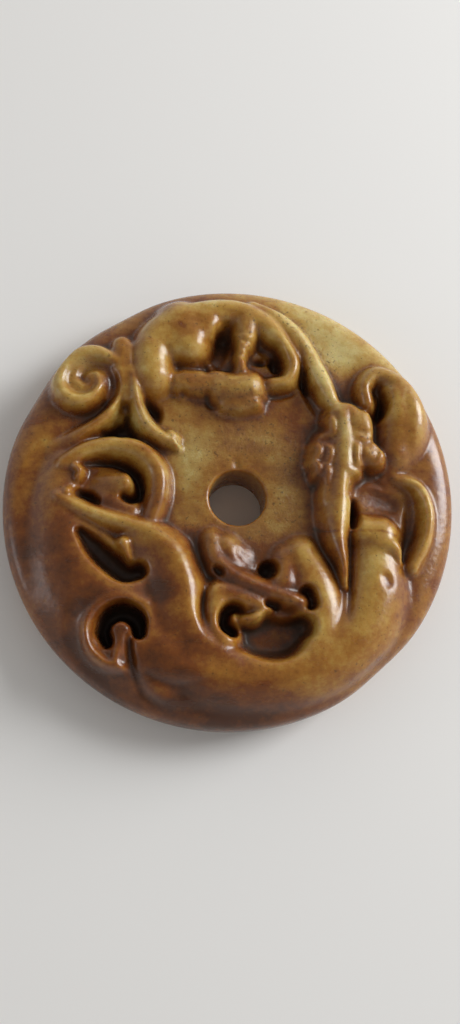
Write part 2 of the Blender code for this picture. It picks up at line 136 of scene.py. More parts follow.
def smooth_through(values, places, wanted):
    """The values, given at rising places, read at the wanted places on a smooth curve."""
    slopes = np.gradient(values, places, axis=0)
    before = np.clip(np.searchsorted(places, wanted, side="right") - 1, 0, len(places) - 2)
    gap = places[before + 1] - places[before]
    part = (wanted - places[before]) / gap
    if values.ndim == 2:
        part, gap = part[:, None], gap[:, None]
    rise = part * part * (3 - 2 * part)
    leave = part * (1 - part) ** 2 * gap
    arrive = part * part * (part - 1) * gap
    start = (1 - rise) * values[before] + leave * slopes[before]
    return start + rise * values[before + 1] + arrive * slopes[before + 1]


def guide(points):
    """Closely spaced points on a smooth line through a stroke's few points."""
    points = np.array(points, float)
    if len(points) == 1:
        points = np.vstack([points, points + [0, 0.1]])
    places = np.concatenate([[0], np.cumsum(np.hypot(*np.diff(points, axis=0).T))])
    wanted = np.linspace(0, places[-1], 2 + int(places[-1] / GUIDE_STEP))
    return smooth_through(points, places, wanted)


def along(values, shares):
    """A size that changes along a stroke, from the few values given for it."""
    values = np.array(values, float)
    if len(values) == 1:
        return np.full_like(shares, values[0])
    return smooth_through(values, np.linspace(0, 1, len(values)), shares)


def blend_higher(first, second, softness):
    """The higher of two surfaces, with a fillet where they meet."""
    overlap = np.clip(softness - np.abs(first - second), 0, None)
    return np.maximum(first, second) + overlap**2 / (4 * softness)


# %% [markdown]
# ## The strokes
#
# The board knows four strokes for shape. A band is a limb or a swelling: it lifts the surface to
# a rounded crest and blends into what is there. A pit is the opposite, drilled down to a floor. A
# bead and a groove only add a little to the height or take a little away, so they follow the
# form underneath, as strands of hair and wrinkles do. A dab is a stroke with a brush instead of
# a tool: it pulls a tone of the stone towards a wanted level, with a soft edge.

# %% The carving board
BOARD_EDGE = 101.0
FAR_AWAY = 1e3


class Board:
    """Heights and tones over the face, on a square grid in plan units."""

    def __init__(self, step):
        self.step = step
        self.line = np.arange(-BOARD_EDGE, BOARD_EDGE + step, step)
        self.x, self.y = np.meshgrid(self.line, self.line)
        self.height = np.zeros_like(self.x)

    def window(self, low, high):
        """The rows and columns between two corners."""
        first = np.clip(np.searchsorted(self.line, low), 0, len(self.line))
        last = np.clip(np.searchsorted(self.line, high) + 1, 0, len(self.line))
        return slice(first[1], last[1]), slice(first[0], last[0])

    def stroke(self, points, widths, reach):
        """The window that a stroke touches, how far across it each spot lies, and how far along."""
        line = guide(points)
        margin = max(widths) * reach + 1
        window = self.window(line.min(axis=0) - margin, line.max(axis=0) + margin)
        top, left = window[0].start, window[1].start
        shape = self.x[window].shape
        nearest = np.full(shape, FAR_AWAY)
        offset = np.full(shape, FAR_AWAY)
        share = np.zeros(shape)
        steps = np.diff(line, axis=0)
        lengths = np.hypot(*steps.T)
        run = np.concatenate([[0], np.cumsum(lengths)])
        for start, step, length, passed in zip(line, steps, lengths, run):
            ends = np.array([start, start + step])
            rows, columns = self.window(ends.min(axis=0) - margin, ends.max(axis=0) + margin)
            near = slice(rows.start - top, rows.stop - top), slice(columns.start - left, columns.stop - left)
            away_x = self.x[rows, columns] - start[0]
            away_y = self.y[rows, columns] - start[1]
            part = np.clip((away_x * step[0] + away_y * step[1]) / length**2, 0, 1)
            away_x = away_x - part * step[0]
            away_y = away_y - part * step[1]
            distance = np.hypot(away_x, away_y)
            closer = distance < nearest[near]
            side = np.sign(step[0] * away_y - step[1] * away_x)
            nearest[near] = np.where(closer, distance, nearest[near])
            offset[near] = np.where(closer, side * distance, offset[near])
            share[near] = np.where(closer, (passed + part * length) / run[-1], share[near])
        return window, offset / along(widths, share), share

    def band(self, points, widths, heights, lean=0.0, fullness=2.6, softness=5):
        """Raise a rounded band; lean moves its crest to the left of its direction, or right if negative."""
        window, across, share = self.stroke(points, widths, reach=2)
        across = across - lean
        across = np.abs(across) / np.where(across > 0, 1 - lean, 1 + lean)
        height = along(heights, share)
        surface = height - np.abs(height) * across**fullness
        self.height[window] = blend_higher(self.height[window], surface, softness)

    def pit(self, points, widths, depths, brim=0, fullness=3.0, softness=5):
        """Sink a hollow whose wall reaches the brim's height at its given half-width."""
        window, across, share = self.stroke(points, widths, reach=2)
        depth = along(depths, share)
        surface = (depth + brim) * np.abs(across) ** fullness - depth
        self.height[window] = -blend_higher(-self.height[window], -surface, softness)

    def bead(self, points, widths, heights, fullness=2.0):
        """Add a rounded ridge to whatever is there."""
        window, across, share = self.stroke(points, widths, reach=1.1)
        profile = np.clip(1 - np.abs(across) ** fullness, 0, 1)
        self.height[window] += along(heights, share) * profile

    def groove(self, points, widths, depths, fullness=1.3):
        """Cut a groove of the given depth into whatever is there."""
        self.bead(points, widths, -np.array(depths, float), fullness)

    def dab(self, points, widths, levels):
        """Pull the heights towards the wanted levels, most at the middle of the stroke."""
        window, across, share = self.stroke(points, widths, reach=2)
        cover = np.exp(-1.4 * across**2)
        self.height[window] += cover * (along(levels, share) - self.height[window])

    def soften(self, field, reach):
        """The field averaged over a soft round spot."""
        steps = max(1, int(3 * reach / self.step))
        offsets = np.arange(-steps, steps + 1)
        weights = np.exp(-0.5 * (offsets * self.step / reach) ** 2)
        weights /= weights.sum()
        for axis in (0, 1):
            field = sum(weight * np.roll(field, shift, axis) for weight, shift in zip(weights, offsets))
        return field

    def read(self, field, spots):
        """The field at points of the plan, each from the four board points round it."""
        place = (np.clip(spots, -BOARD_EDGE, BOARD_EDGE - self.step) + BOARD_EDGE) / self.step
        corner = np.floor(place).astype(int)
        part = place - corner
        column, row = corner.T
        low = field[row, column] * (1 - part[:, 0]) + field[row, column + 1] * part[:, 0]
        high = field[row + 1, column] * (1 - part[:, 0]) + field[row + 1, column + 1] * part[:, 0]
        return low * (1 - part[:, 1]) + high * part[:, 1]

    def tell(self, step):
        low, high = round(self.height.min()), round(self.height.max())
        print("after the", step, "the face runs from", low, "to", high)


FACE_STEP = 0.45
face = Board(step=FACE_STEP)
print("the board has", face.height.size, "points")

# %% [markdown]
# ## Broad swells and deep hollows
#
# A carver first saws and grinds away the broad masses, so those come first here too: the heavy
# swell at the lower left that the dragon's hindquarters grow out of, the one that closes the
# lower right, the right haunch, and the deep hollows drilled between the figures. Later strokes
# blend into these, which is why their order matters.

# %% Swells
face.band(
    [(-72, 12), (-73, -8), (-66, -28), (-54, -46), (-40, -60), (-26, -72)],
    widths=[8, 12, 19, 24, 24, 18],
    heights=[28, 46, 60, 72, 75, 70],
    fullness=2,
    softness=22,
)
face.band(
    [(60, -24), (59, -44), (51, -61), (33, -73), (10, -78), (-10, -76), (-26, -68)],
    widths=[12, 15, 16, 16, 15, 15, 15],
    heights=[66, 78, 81, 82, 81, 78, 74],
    fullness=2.2,
    softness=20,
)
face.band(
    [(28, -28), (33, -40), (36, -54), (34, -67)],
    widths=[9, 12, 12, 11],
    heights=[58, 72, 75, 74],
    fullness=2.4,
    softness=20,
)
face.tell("swells")

# %% Hollows
face.pit([(-53, 27), (-48, 28.2), (-43, 25.8)], [1.6, 3.2, 1.6], [78], brim=60, fullness=4)
face.pit([(-47.2, 29), (-46.6, 33)], [2.4, 0.7], [78, 60], brim=60, fullness=4)
face.pit([(-38.5, 38.5), (-34.6, 35), (-33, 30)], [2.4, 3.4, 2], [60, 50, 10], brim=40, fullness=4)
face.pit(
    [(0, -62.5), (10, -62), (20, -62), (27.5, -58.5)],
    widths=[4.6, 9.6, 10, 5.6],
    depths=[50],
    brim=72,
    fullness=5,
    softness=8,
)
face.tell("hollows")

# %% [markdown]
# ## The dragon over the bore
#
# The first dragon arches over the bore. Its back is one thick band along the top, two round
# haunches hang from it, a foreleg reaches down to a small paw at the left, and the head looks
# along the ground to the right with a knot of hair behind its ear. The strokes go from the
# largest form to the smallest, so that each one sits on the last.

# %% Back, haunches and limbs of the upper dragon
face.band(
    [
        (-37, 50), (-36, 62), (-28, 74), (-12, 81), (2, 81.5),
        (13, 76.5), (21.5, 67), (26, 57), (23, 50), (16, 48.5),
    ],
    widths=[10, 11.5, 11, 8.5, 8, 7.6, 6.6, 4.8, 4.4, 4],
    heights=[86, 88, 90, 90, 88, 85, 80, 74, 66, 58],
    fullness=2.8,
    softness=10,
)
face.band(
    [(8, 86), (20, 79), (28.5, 69.5), (34.5, 58.5), (39.2, 49), (43, 40.5), (45, 37.5)],
    widths=[4, 5, 6, 6, 5.8, 5.4, 4],
    heights=[50, 58, 60, 62, 66, 72, 64],
    fullness=3,
    softness=4,
)
face.band([(-26, 68), (-14, 76)], [12, 10], [88, 88], fullness=4, softness=10)
face.band([(-37, 62), (-35.5, 50.8)], [10.5, 10.8], [92, 94], fullness=2.4, softness=12)
face.band([(-23, 48.5), (-12, 48), (-2, 46.5)], [6.6, 7, 8], [60, 64, 76], fullness=3.4, softness=8)
face.band([(-24, 76), (-20.5, 66)], [13.5, 11.2], [90, 98], fullness=2.8, softness=16)
face.band(
    [(-45.5, 56), (-43.5, 45), (-41.8, 35.5), (-38, 27.5), (-31, 22), (-27, 21)],
    widths=[2, 3, 4, 4.4, 4.2, 3.4],
    heights=[60, 78, 82, 80, 70, 56],
    fullness=2.4,
)
face.band([(-28, 24.5), (-24.6, 22.4)], [2, 1.6], [60, 50])
face.band([(-27, 20.5), (-24.2, 18.4)], [2, 1.6], [58, 46])
face.bead([(-30.2, 20.4)], [1.7], [9])
face.pit(
    [(-37.6, 38.6), (-34.8, 34.4), (-33.6, 30.4)],
    widths=[1.8, 2.6, 1.4],
    depths=[60, 40, 0],
    brim=50,
    fullness=4,
    softness=3,
)
face.groove([(-30.5, 63.5), (-27, 59), (-20, 56.6), (-13, 58.6)], [1], [3, 10, 12, 8])
face.groove([(-25, 57), (-24.2, 50), (-24.6, 43.5)], [1.6], [2, 6, 4])
face.groove([(-22, 80.5), (-8, 80.4), (3, 78.6), (11, 72)], [1.4], [2, 4, 5, 2])
face.groove([(26.5, 71.5), (30, 62.5), (30.8, 55.5)], [1.2], [3, 14, 24])
face.pit([(31, 55.5), (31.4, 50), (32.6, 46.4)], [0.9, 2.2, 1.8], [40, 56, 16], brim=40, softness=4)
face.groove([(32.4, 47), (34.6, 42), (37.6, 36)], [2.4], [16, 12, 4], fullness=2)
face.groove([(14.5, 44), (20, 44), (26, 46)], [1.4], [16, 20, 16])
face.tell("limbs of the upper dragon")

# %% Head and hair of the upper dragon
face.band([(-6, 45.6), (0, 45.8), (6, 46.2)], [8, 9.8, 9.6], [78, 87, 91], fullness=2.2, softness=8)
face.band([(-4, 38.5), (3, 38), (8.6, 39.4)], [5, 5.2, 4.8], [52, 62, 68], fullness=1.8, softness=22)
face.band([(2.4, 54), (2.6, 60), (4.4, 67), (5.4, 77)], [3.4, 3.4, 6, 8], [76, 74, 78, 84], fullness=3)
face.pit([(-4.8, 70), (-6, 64.5), (-7.6, 59.8)], [4.2, 4.6, 4.8], [44, 28, 14], brim=74, fullness=5)
face.pit([(12.6, 66.4), (15.6, 64), (18.4, 60)], [3.2, 4.6, 3.4], [10, 20, 56], brim=74, fullness=5)
face.pit([(18.6, 61), (18.8, 58)], [3, 2.9], [60], brim=72, fullness=4)
face.pit([(13, 60.6), (9.6, 60.2), (6.8, 60.2)], [2.2, 1.5, 0.9], [40, 34, 0], brim=70, fullness=4)
face.bead([(-8.4, 52.6), (-6, 52)], [2.8], [9])
face.groove([(-12.6, 57), (-12.4, 52)], [1.3], [26, 16])
face.pit([(-22.6, 42.6)], [1.9], [0], brim=60, fullness=4)
face.bead([(-22.6, 41.4)], [1.1], [20])
face.pit([(-12.2, 42), (-11.4, 39.4)], [1.5], [10], brim=60)
face.groove([(-11, 39), (-8.6, 37.6), (-6, 36.4)], [1.1, 0.9, 0.7], [24, 18, 8])
face.bead([(10.5, 52.5), (11, 48)], [3.6], [5])
for strand in (
    [(-1, 74), (1, 69.6), (5.6, 67.6), (10, 70)],
    [(0, 70), (2, 65.4), (5.6, 64), (8.8, 66.4)],
    [(0.6, 66), (2, 61.6), (5, 60.6)],
    [(0.4, 61), (1.8, 56.6), (5, 53.4)],
    [(3.4, 60), (4.6, 56.6), (7.6, 55)],
):
    face.bead(strand, [1.6], [8, 12, 12, 8])
for cut in (
    [(0.6, 73.6), (3.4, 66.8), (8, 66)],
    [(0, 66), (1.4, 61), (5.6, 57.4)],
):
    face.groove(cut, [1.1], [8, 14, 8])
for wrinkle in (
    [(-11, 50.6), (-3, 51), (5, 51.5)],
    [(-4, 46), (3, 47.5), (7.6, 50.5)],
    [(8.8, 51), (9.6, 47.5), (9.2, 44)],
    [(12.6, 51), (12.4, 47), (13.2, 44.6)],
    [(5, 41.6), (9, 40.6), (12.6, 41.4)],
    [(1, 38), (5, 37), (9.5, 38.2)],
    [(11.4, 54), (12, 50), (14.4, 47)],
):
    face.groove(wrinkle, [0.9], [4, 9, 5])
for wart in ((11, 50), (13.6, 42.8), (9.6, 38), (12, 37.4), (2.6, 56), (5.6, 54.8), (-3, 48.6), (8, 43)):
    face.bead([wart], [1.5], [8])
face.tell("head of the upper dragon")

# %% [markdown]
# ## The upper scrolls
#
# Two scrolls close the composition at the top: a curled one at the upper left, with a channel
# that winds to its eye, and a hollow one at the upper right, above the second dragon's brow.

# %% Upper scrolls
face.band(
    [(-49, 62), (-49.5, 50), (-50.6, 40), (-55.5, 31), (-65, 24), (-76, 17)],
    widths=[3.4, 3, 3.2, 3.8, 4.4, 5],
    heights=[72, 70, 68, 62, 48, 14],
    fullness=2.4,
)
face.band([(-68, 48), (-54, 47)], [12, 9], [52, 54], fullness=4)
face.band([(-49.6, 64), (-50, 50)], [5.5, 5], [68, 68], fullness=4, softness=8)
face.band([(-47.4, 62), (-47, 50), (-46.6, 39)], [4.6, 3.8, 2.6], [68, 68, 64], fullness=4, softness=5)
face.band(
    [
        (-60.2, 50), (-58.4, 44), (-62, 38.6), (-69, 37.2), (-75, 42),
        (-75.5, 50), (-70, 57.5), (-60, 59.5), (-52, 56),
    ],
    widths=[1.6, 3, 4.4, 5, 5.2, 5.6, 6, 5.4, 4],
    heights=[62, 72, 76, 78, 78, 78, 78, 77, 74],
    fullness=2.8,
)
face.pit(
    [
        (-64.6, 46), (-66.8, 48), (-65, 51.6), (-60, 53.2), (-54.6, 50),
        (-53, 43.5), (-56, 37), (-62, 32.4), (-70, 28),
    ],
    widths=[1.5, 2.3, 2.6, 3, 3.6, 3.8, 3.4, 2.8, 2],
    depths=[-36, -32, -36, -40, -32, -24, -20, -10, 0],
    brim=70,
)
face.groove([(-53, 26.5), (-60, 22.8), (-67, 20)], [1.2], [34, 22, 6])
face.groove([(-42.5, 24.5), (-38, 20.5), (-33, 18.3)], [1.2], [34, 26, 8])
face.band(
    [(69, 16), (77, 28), (78, 42), (71.5, 51), (62.5, 54), (57.6, 48.5), (58.6, 40)],
    widths=[8, 10, 9.6, 8.2, 6.2, 5.2, 4.6],
    heights=[20, 60, 76, 76, 72, 74, 66],
    fullness=2.4,
    softness=10,
)
face.band([(71, 20), (73, 34), (72, 45)], [9, 10, 9], [54, 74, 78], fullness=2.4, softness=10)
face.pit(
    [(60.6, 46.4), (63.6, 47.2), (65.8, 44), (65.8, 38.5), (63.4, 33.6)],
    widths=[0.8, 1.4, 1.9, 2.3, 1.8],
    depths=[-30, 10, 50, 60, 20],
    brim=64,
    fullness=3.4,
)
face.groove([(60, 35.4), (54, 35.6)], [1.6], [14])
face.tell("upper scrolls")

# %% [markdown]
# ## The dragon on the right
#
# The second dragon is seen from above: a broad brow with two eyes, a long nose ridge, and a neck
# that runs down and forks. Its right branch turns into the long limb that sweeps under the bore.

# %% Head and neck of the right dragon
face.band([(40.5, 21), (36.8, 14), (37, 7)], [8, 7, 5.4], [70, 68, 64], fullness=3, softness=8)
face.band([(48, 31), (49.5, 22), (48.5, 12)], [10.8, 11.4, 9.4], [90, 92, 90], fullness=4.6, softness=8)
face.band([(54, 30.5), (55, 24.5)], [7.6, 6.6], [90, 91], fullness=4.4, softness=6)
face.band([(56.6, 17), (59.6, 14.4)], [7.8, 6.6], [90, 87], fullness=4)
face.band([(46.5, 32), (47, 21), (46.8, 10)], [6.5, 6.5, 7], [90, 94, 93], fullness=2.6, softness=12)
face.band([(42, 19), (40.4, 8), (39.6, -5)], [5, 5.6, 5.4], [76, 74, 74], fullness=2.4, softness=14)
face.band(
    [(45.6, 11), (44.4, 0), (43, -12), (43, -22), (45, -33), (46, -42)],
    widths=[7, 8, 9.2, 7, 4, 1.4],
    heights=[93, 93, 93, 92, 88, 72],
    lean=0.05,
    fullness=2,
    softness=5,
)
face.tell("head and neck of the right dragon")

# %% Features of the right dragon's head
face.groove([(37.5, 34), (43, 33), (44.6, 28), (43, 22.4), (37, 21)], [1.3], [10, 14, 12, 14, 10])
face.bead([(40.4, 30.5), (40.6, 25.5)], [3], [7])
face.groove([(49.6, 35), (50, 29), (50.6, 24)], [1.1], [8])
face.groove([(51.6, 25.6), (57, 24.4), (61, 26)], [1], [6, 11, 8])
face.groove([(50.6, 21.4), (56, 19.6), (60.4, 23)], [1.1], [8, 14, 10])
face.bead([(54.5, 30.5), (57, 28)], [3.6], [5])
face.bead([(57.5, 34), (61, 36)], [1.8], [8])
face.bead([(60.8, 31), (61, 26)], [1.5], [6])
face.groove([(54.4, 18.6), (54.4, 12.2), (59.6, 12.6), (61, 17), (57.5, 18.4)], [1], [10, 14, 13, 12, 10])
face.bead([(52.4, 18.4), (52.2, 12.4)], [1.5], [7])
face.bead([(62, 20), (64.4, 15.6), (65.2, 11.6)], [1.8], [4, 9, 8])
face.groove([(49.6, 9.5), (54, 8.7), (59, 9), (64, 8.2)], [1.2], [10, 18, 18, 10])
face.groove([(50.4, 18), (50, 14), (50.4, 10)], [1.2], [6, 10, 6])
for curl in (
    [(31, 20), (34.6, 19.4), (36.6, 16), (33.6, 13.4)],
    [(30.4, 11.6), (33.6, 11.4), (35.6, 8.6), (33, 6)],
    [(38.6, 19), (41, 16), (40, 12)],
    [(36.8, 10.6), (39.6, 8), (38.4, 4)],
):
    face.bead(curl, [1.9], [9, 14, 14, 9])
for cut in (
    [(37.2, 21), (38.2, 16), (36.6, 12)],
    [(32, 12.6), (36.4, 12), (38, 8)],
    [(42.8, 20), (42.6, 15), (41, 10)],
):
    face.groove(cut, [1], [4, 9, 5])
face.pit([(30.2, 8.6)], [1.4], [-4], brim=34)
face.groove([(35, 4.4), (35.6, 1.4)], [1.8], [16], fullness=2)
face.tell("features of its head")

# %% Limbs of the right dragon
face.pit([(56, -1), (63, -3), (69, -5)], [5, 5.5, 5], [6, 14, 20], brim=10, softness=8)
face.band([(55.5, -18), (62, -19)], [8.5, 9.5], [76, 80], fullness=2.8, softness=10)
face.band([(61, -22), (67, -25), (70.4, -31)], [9, 5, 1.5], [80, 80, 60], fullness=2.4, softness=8)
face.pit(
    [(70.5, -0.5), (75.4, -5), (76.2, -13), (74.6, -22), (71.8, -30)],
    widths=[3, 4.8, 5.2, 3.6, 1.4],
    depths=[-4, 12, 20, 26, 8],
    brim=54,
    fullness=2.8,
)
face.pit([(51.6, -3.6), (51.8, -9), (50.6, -15.5)], [1.4, 2.1, 1.2], [40, 75, 50], brim=50)
face.groove(
    [(48.9, -18), (49.2, -28), (48.8, -38), (48, -47), (46, -56)],
    widths=[1.1, 1.1, 1.2, 1.2, 0.8],
    depths=[16, 20, 28, 30, 12],
)
face.groove([(34.4, -17.5), (37.4, -25), (41.2, -33), (44.8, -43)], [1], [3, 7, 8, 6])
face.groove([(46, -41), (47, -37.6), (47.6, -41)], [0.7], [8])
face.pit([(29.6, -45), (31, -48.6)], [3.4, 3.2], [74], brim=68, fullness=4)
face.groove([(62.6, -38), (63.4, -40.4)], [2.8], [9], fullness=2)
face.tell("limbs of the right dragon")

# %% The hollow curl by the rim
face.band(
    [(71, 7), (79, 3.5), (83.4, -7), (82, -20), (75.5, -33)],
    widths=[2.8, 3.8, 3.8, 3.8, 3.6],
    heights=[16, 52, 60, 56, 48],
    fullness=2.2,
    softness=6,
)
face.groove([(54, 4.6), (60, 6), (66, 3)], [1.6], [6, 10, 4])
face.tell("hollow curl")

# %% The small notch above the bore
face.groove([(0.6, 15), (1.4, 11)], [0.8, 2], [2, 9], fullness=2)
face.tell("notch")

# %% [markdown]
# ## The dragon on the left
#
# At the left a scroll with two small knobs opens into the long limb and the torso of the last
# figure, with a long pit under it that ends in a hook.

# %% Left scroll, limb and torso
face.band(
    [(-72, 9.6), (-63, 15.2), (-51, 17.6), (-39.8, 14.6), (-33.4, 6.8), (-32.6, -3), (-35, -13)],
    widths=[5, 5.1, 5.3, 5.9, 6, 6, 5.4],
    heights=[48, 62, 69, 73, 75, 74, 62],
    lean=0.15,
    fullness=2.8,
)
face.pit([(-62, 3), (-55, 2), (-48, 2)], [5, 8, 7], [20, 30, 20], brim=50, fullness=5)
face.band([(-60, -2), (-53, 0), (-46.8, 1.6)], [7, 8.2, 5.6], [4, 32, 60], fullness=2.8, softness=3)
face.band([(-52, -6), (-44, -11)], [8, 7], [34, 52], fullness=2.4, softness=6)
face.pit(
    [(-64, 10.3), (-56, 11.4), (-49, 10.6), (-43, 6.8), (-40.3, 1), (-40.6, -3.6), (-44, -5.6), (-47, -4)],
    widths=[0.8, 1.6, 1.9, 2.2, 2.2, 2.2, 1.9, 1.3],
    depths=[10, 40, 50, 56, 62, 60, 56, 40],
    brim=62,
    fullness=4,
)
face.bead([(-46.6, -4.8), (-43.6, -6), (-41, -4.4)], [0.8], [16])
face.pit([(-56.6, 24.6), (-50, 25.6), (-43.6, 24)], [1.2, 2.6, 2], [80], brim=60, fullness=4, softness=3)
face.pit([(-48.8, 25), (-47.6, 29), (-47, 32)], [3.6, 2.2, 0.6], [80], brim=62, fullness=4, softness=3)
face.pit([(-65.4, -2.8), (-61.5, -4.4), (-58.4, -6.4)], [2, 3, 1.8], [50, 56, 30], brim=40)
face.band([(-67.6, 8.2), (-65, 6.4), (-66, 3.2)], [2.2, 2.4, 2.2], [64, 66, 60], fullness=2)
face.band([(-70, -3)], [2.9], [66], fullness=2)
face.band(
    [(-40, -22), (-31, -30), (-27, -42), (-25.5, -54), (-19, -66), (-4, -76)],
    widths=[10, 14, 16, 16, 14, 12],
    heights=[76, 85, 88, 86, 82, 74],
    lean=0.4,
    fullness=2,
    softness=16,
)
face.band(
    [(-74, -5), (-66, -9.5), (-55, -13.7), (-44, -17), (-34, -21), (-27, -28)],
    widths=[4.5, 5, 5.2, 6, 8, 10],
    heights=[56, 66, 74, 79, 83, 84],
    fullness=2.2,
    softness=10,
)
face.pit(
    [(-64, -20), (-58, -26), (-51, -32.4), (-44.6, -36.6), (-40, -36)],
    widths=[2, 4.8, 5.4, 5.2, 3.8],
    depths=[10, 36, 50, 56, 50],
    brim=66,
    fullness=4,
)
face.band([(-46, -25), (-43.4, -31.8)], [4.6, 1.3], [76, 54], fullness=2.6, softness=3)
face.groove(
    [(-57, 33), (-66, 26), (-76, 17), (-84, 8), (-87, -6), (-84, -22)],
    widths=[4, 5, 6, 6, 6, 6],
    depths=[4, 9, 10, 8, 6, 2],
    fullness=2,
)
face.tell("left scroll and torso")

# %% [markdown]
# ## Under the bore and at the lower left
#
# A small limb and a scroll fill the space under the bore. At the lower left another scroll curls
# round a dark channel, and a tail with two folds runs along the rim.

# %% Limb and scroll under the bore
face.band([(-4, -24.5), (0, -30)], [6.5, 8], [42, 44], fullness=2, softness=14)
face.band([(-8, -45), (-7, -54), (-5, -64)], [7, 8, 8], [64, 70, 74], fullness=2.8, softness=10)
face.band([(-5, -44.5), (5, -47), (13, -50)], [7, 6.4, 4], [64, 62, 54], fullness=2.4, softness=10)
face.band([(22, -30), (21, -40)], [8, 9], [50, 66], fullness=2, softness=16)
face.band(
    [(-9.5, -22), (-8.5, -29), (-2, -36.4), (8, -41.4), (18, -45.2), (27, -48.4)],
    widths=[6, 6.4, 6, 5.8, 5.8, 5],
    heights=[44, 58, 67, 68, 67, 64],
    fullness=2,
    softness=12,
)
face.pit([(6, -27), (9.5, -31)], [5, 5.6], [-16, -4], brim=30, softness=14)
face.pit([(13.8, -34.2)], [4.2], [56], brim=44, fullness=4, softness=4)
face.pit(
    [(2.6, -51.4), (0, -50.6), (-3.6, -53), (-3.8, -57.6), (-0.5, -60.6)],
    widths=[1.4, 2.2, 2.7, 2.9, 2.6],
    depths=[24, 44, 62, 70, 66],
    brim=60,
    fullness=4,
)
face.band([(3.4, -55.4), (7, -55.2), (11.5, -52)], [2.2, 3, 2.6], [48, 60, 54], fullness=2.2, softness=3)
face.pit([(13.6, -49), (18, -50)], [1.2, 1.4], [20, 30], brim=50)
face.pit([(-8.2, -34.6), (-6, -36.4)], [1.3, 1.5], [-10, 0], brim=56)
face.groove(
    [(-9.4, -38.6), (-12, -44), (-13.6, -52), (-12, -61)],
    widths=[1.5, 1.8, 2, 1.6],
    depths=[16, 26, 30, 8],
    fullness=1.6,
)
face.bead([(18, -44.4), (24, -46)], [2.4], [3, 6])
face.tell("scroll under the bore")

# %% Scroll and tail at the lower left
face.band(
    [(-45.5, -75.6), (-52, -73.4), (-58, -68), (-60, -60), (-57, -51.6), (-48, -47), (-36, -50)],
    widths=[2.4, 3.6, 3.6, 3.8, 4.2, 4.2, 4],
    heights=[66, 73, 79, 78, 75, 73, 70],
    fullness=2.2,
    softness=4,
)
face.pit(
    [(-51.4, -65.4), (-53.4, -60), (-51, -55), (-45, -53), (-39.8, -56.4), (-38.8, -61.4)],
    widths=[2.2, 3, 3.6, 3.9, 3.8, 2.6],
    depths=[84],
    brim=64,
    fullness=5,
)
face.band(
    [(-48, -59.4), (-46.6, -64), (-47.4, -70), (-48, -74)],
    widths=[1.3, 2.4, 3.6, 4],
    heights=[50, 64, 68, 68],
    fullness=2.4,
    softness=3,
)
face.bead([(-46, -75)], [2.2], [7])
face.groove(
    [(-42.6, -63.6), (-42.2, -70), (-40, -78), (-36, -85), (-30, -90)],
    widths=[1.9, 2.1, 2.3, 2.5, 2.5],
    depths=[34, 28, 20, 14, 4],
    fullness=1.7,
)
face.groove([(-65, -50), (-66, -61), (-62.4, -72), (-53, -79)], [3.6, 4, 4, 3.2], [3, 9, 11, 6], fullness=2)
face.bead([(-34, -74.5), (-22, -76.8), (-10, -75.6)], [3.4, 4.6, 3.6], [2, 6, 3])
face.groove([(-36, -77.5), (-29, -81), (-20, -82), (-12, -80.4)], [1.3, 1.7, 1.7, 1.3], [6, 13, 11, 3])
face.groove([(-28, -83.4), (-21, -84.6), (-14, -84.4)], [2.2, 3.2, 2.4], [3, 10, 4], fullness=2)
face.bead([(-38, -82), (-28, -87.6), (-16, -89.6)], [2.4], [3, 7, 4])
face.tell("tail")

# %% [markdown]
# ## Polishing
#
# Jade is too hard to carve with a steel blade. It is worn into shape with wet sand, and the last
# polish rounds every edge. Averaging the board over a very small spot does the same.

# %% Polish
POLISH_REACH = 0.75
face.height = face.soften(face.height, POLISH_REACH)
print("polished over", round(1000 * POLISH_REACH * PLAN_UNIT, 2), "mm")
